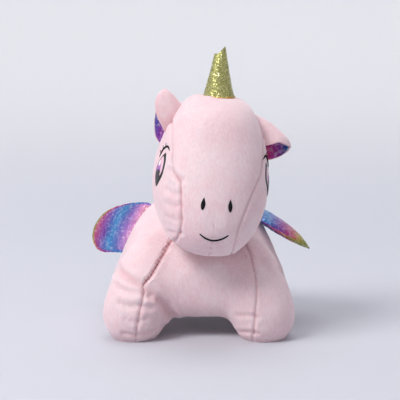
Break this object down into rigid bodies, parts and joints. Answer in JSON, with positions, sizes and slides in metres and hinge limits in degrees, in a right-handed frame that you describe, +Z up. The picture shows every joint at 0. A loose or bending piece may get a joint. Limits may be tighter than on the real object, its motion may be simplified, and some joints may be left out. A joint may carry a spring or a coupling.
{
  "type": "plush unicorn",
  "caption": "Soft stuffed unicorn standing on four stubby legs, with a glitter horn, folded ears, padded foil wings, a mane crest and a tail.",
  "frame": {"origin": "bottom centre of the bounding box, on the floor the soles stand on", "axes": "+Z up, the toy faces -Y and its own left side is at +X"},
  "size_m": [0.2195, 0.2304, 0.2791],
  "materials": {
    "velour": "short pale pink plush pile",
    "foil": "crinkled foil print running from cyan through violet and magenta to gold",
    "glitter": "gold glitter cloth",
    "thread": "black satin-stitch embroidery",
    "pink_thread": "pink sewing thread",
    "ribbon": "white satin ribbon, blank",
    "fill": "white polyester fibre filling"
  },
  "bodies": {
    "torso": {"care_label": "ribbon", "closing_stitch": "pink_thread", "leg_stuffing_front_left": "fill", "leg_stuffing_front_right": "fill", "leg_stuffing_rear_left": "fill", "leg_stuffing_rear_right": "fill", "side_panel_left": "velour", "side_panel_right": "velour", "sole_front_left": "velour", "sole_front_right": "velour", "sole_rear_left": "velour", "sole_rear_right": "velour", "torso_stuffing": "fill", "underbody_panel": "velour"},
    "neck": {"neck_cover": "velour", "neck_stuffing": "fill"},
    "head": {"eye_left": "thread", "eye_right": "thread", "face_panel": "velour", "head_side_left": "velour", "head_side_right": "velour", "head_stuffing": "fill", "mane": "foil", "mouth_stitch": "thread", "nostril_left": "thread", "nostril_right": "thread"},
    "horn": {"horn_cover": "glitter", "horn_stuffing": "fill"},
    "ear_right": {"ear_right_back": "velour", "ear_right_lining": "foil"},
    "ear_left": {"ear_left_back": "velour", "ear_left_lining": "foil"},
    "wing_right": {"wing_right_batting": "fill", "wing_right_top_cover": "foil", "wing_right_under_cover": "foil"},
    "wing_left": {"wing_left_batting": "fill", "wing_left_top_cover": "foil", "wing_left_under_cover": "foil"},
    "tail": {"tail_cover": "foil", "tail_stuffing": "fill"}
  },
  "joints": [
    {"name": "neck_turn", "type": "hinge", "parent": "torso", "child": "neck", "pos_m": [0.0035, -0.03, 0.118], "axis": [0, 0, 1], "range_deg": [-30, 22], "stiffness_Nm_per_rad": 0.6},
    {"name": "head_nod", "type": "hinge", "parent": "neck", "child": "head", "pos_m": [0.0035, -0.03, 0.118], "axis": [0.9954, 0.0958, 0], "range_deg": [-13, 2], "stiffness_Nm_per_rad": 2},
    {"name": "horn_bend", "type": "hinge", "parent": "head", "child": "horn", "pos_m": [0.01605, -0.04185, 0.22601], "axis": [-0.0958, 0.9954, 0], "range_deg": [-4, 6], "stiffness_Nm_per_rad": 0.05},
    {"name": "ear_right_fold", "type": "hinge", "parent": "head", "child": "ear_right", "pos_m": [-0.03214, -0.04549, 0.20836], "axis": [-0.3624, -0.8047, -0.4702], "range_deg": [-5, 90], "stiffness_Nm_per_rad": 0.01},
    {"name": "ear_left_fold", "type": "hinge", "parent": "head", "child": "ear_left", "pos_m": [0.05933, -0.03668, 0.1987], "axis": [-0.4025, 0.7304, 0.5519], "range_deg": [-95, 0], "stiffness_Nm_per_rad": 0.01},
    {"name": "wing_right_flap", "type": "hinge", "parent": "torso", "child": "wing_right", "pos_m": [-0.0685, 0.042, 0.09], "axis": [-0.5023, -0.0005, -0.8647], "range_deg": [-30, 20], "stiffness_Nm_per_rad": 0.02},
    {"name": "wing_left_flap", "type": "hinge", "parent": "torso", "child": "wing_left", "pos_m": [0.062, 0.036, 0.103], "axis": [-0.0876, -0.9951, -0.0458], "range_deg": [-15, 40], "stiffness_Nm_per_rad": 0.02},
    {"name": "tail_lift", "type": "hinge", "parent": "torso", "child": "tail", "pos_m": [-0.0025, 0.0825, 0.099], "axis": [1, 0, 0], "range_deg": [-4, 60], "stiffness_Nm_per_rad": 0.02}
  ]
}
